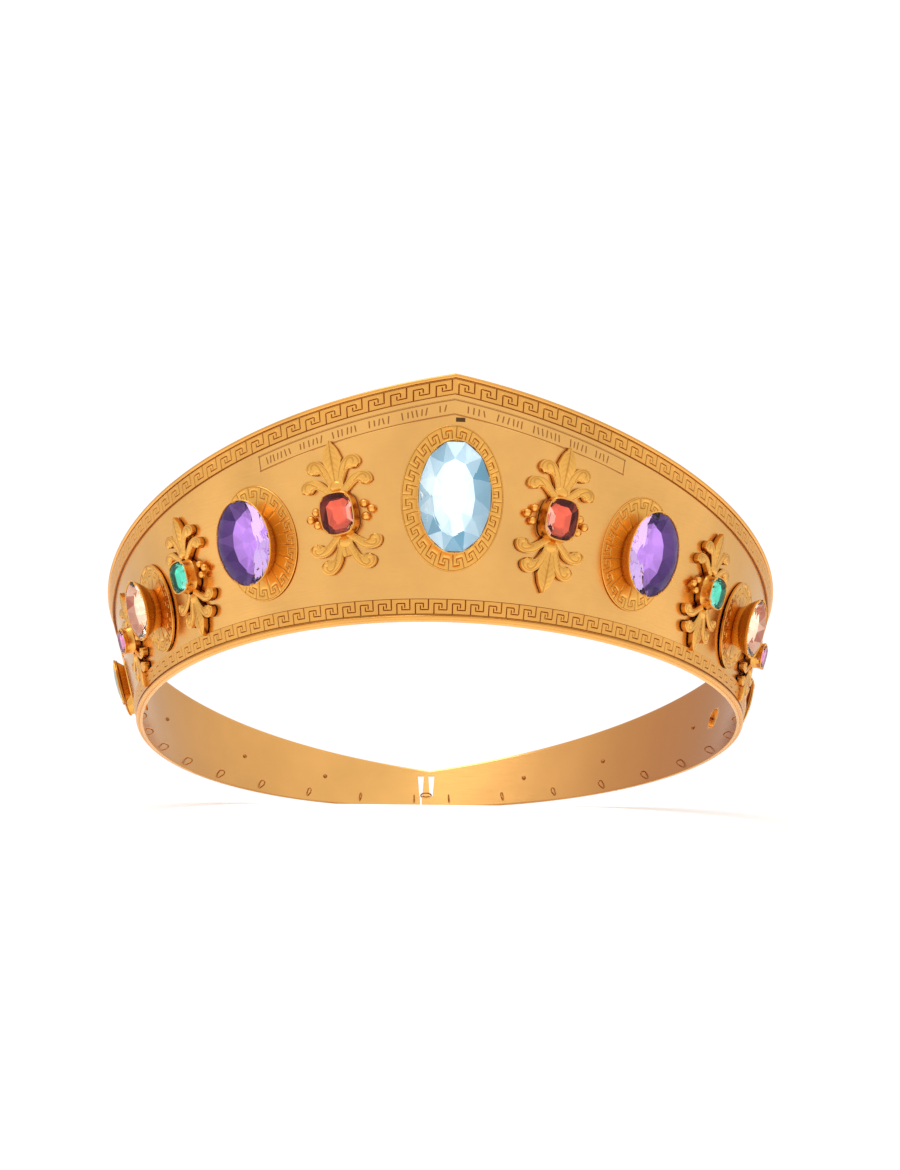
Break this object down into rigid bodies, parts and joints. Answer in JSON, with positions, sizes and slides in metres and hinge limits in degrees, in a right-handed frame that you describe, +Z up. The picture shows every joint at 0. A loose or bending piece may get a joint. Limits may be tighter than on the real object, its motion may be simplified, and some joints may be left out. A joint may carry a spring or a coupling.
{
  "type": "tiara",
  "caption": "Gold band tiara with a low pediment front, meander borders and coloured stones in oval and lily-shaped settings.",
  "frame": {"origin": "middle of the tiara's box, on the plane that its lower edge stands on", "axes": "+Z up, the tall front faces -Y, the wearer's left and right lie along X"},
  "size_m": [0.1788, 0.1968, 0.0611],
  "materials": {
    "sheet_gold": "satin burnished gold, finely brushed inside",
    "border_gold": "satin gold with cut meander lines",
    "mount_gold": "bright yellow gold, engraved",
    "wire_gold": "drawn wire",
    "aquamarine": "polished, faceted, clear pale blue",
    "garnet": "polished, faceted, pinkish red",
    "amethyst": "polished, faceted, violet",
    "emerald": "polished, step cut, green",
    "topaz": "polished, faceted, pale peach",
    "pink": "polished, faceted, pink",
    "opal": "polished, milky grey green",
    "turquoise": "polished, bright blue",
    "citrine": "polished, faceted, golden"
  },
  "bodies": {
    "root": {"amethyst_back_left": "amethyst", "amethyst_back_right": "amethyst", "amethyst_back_setting_left": "mount_gold", "amethyst_back_setting_right": "mount_gold", "amethyst_left": "amethyst", "amethyst_right": "amethyst", "amethyst_setting_left": "mount_gold", "amethyst_setting_right": "mount_gold", "aquamarine": "aquamarine", "aquamarine_setting": "mount_gold", "band": "sheet_gold", "citrine_left": "citrine", "citrine_right": "citrine", "citrine_setting_left": "mount_gold", "citrine_setting_right": "mount_gold", "closure_ring": "wire_gold", "emerald_back_left": "emerald", "emerald_back_mount_left": "mount_gold", "emerald_back_mount_right": "mount_gold", "emerald_back_right": "emerald", "emerald_left": "emerald", "emerald_mount_left": "mount_gold", "emerald_mount_right": "mount_gold", "emerald_right": "emerald", "garnet_back_left": "garnet", "garnet_back_mount_left": "mount_gold", "garnet_back_mount_right": "mount_gold", "garnet_back_right": "garnet", "garnet_left": "garnet", "garnet_mount_left": "mount_gold", "garnet_mount_right": "mount_gold", "garnet_right": "garnet", "lower_border": "border_gold", "opal_left": "opal", "opal_right": "opal", "opal_setting_left": "mount_gold", "opal_setting_right": "mount_gold", "pink_back_left": "pink", "pink_back_mount_left": "mount_gold", "pink_back_mount_right": "mount_gold", "pink_back_right": "pink", "pink_left": "pink", "pink_mount_left": "mount_gold", "pink_mount_right": "mount_gold", "pink_right": "pink", "topaz_back_left": "topaz", "topaz_back_right": "topaz", "topaz_back_setting_left": "mount_gold", "topaz_back_setting_right": "mount_gold", "topaz_left": "topaz", "topaz_right": "topaz", "topaz_setting_left": "mount_gold", "topaz_setting_right": "mount_gold", "turquoise_left": "turquoise", "turquoise_mount_left": "mount_gold", "turquoise_mount_right": "mount_gold", "turquoise_right": "turquoise", "upper_border": "border_gold"}
  },
  "joints": []
}
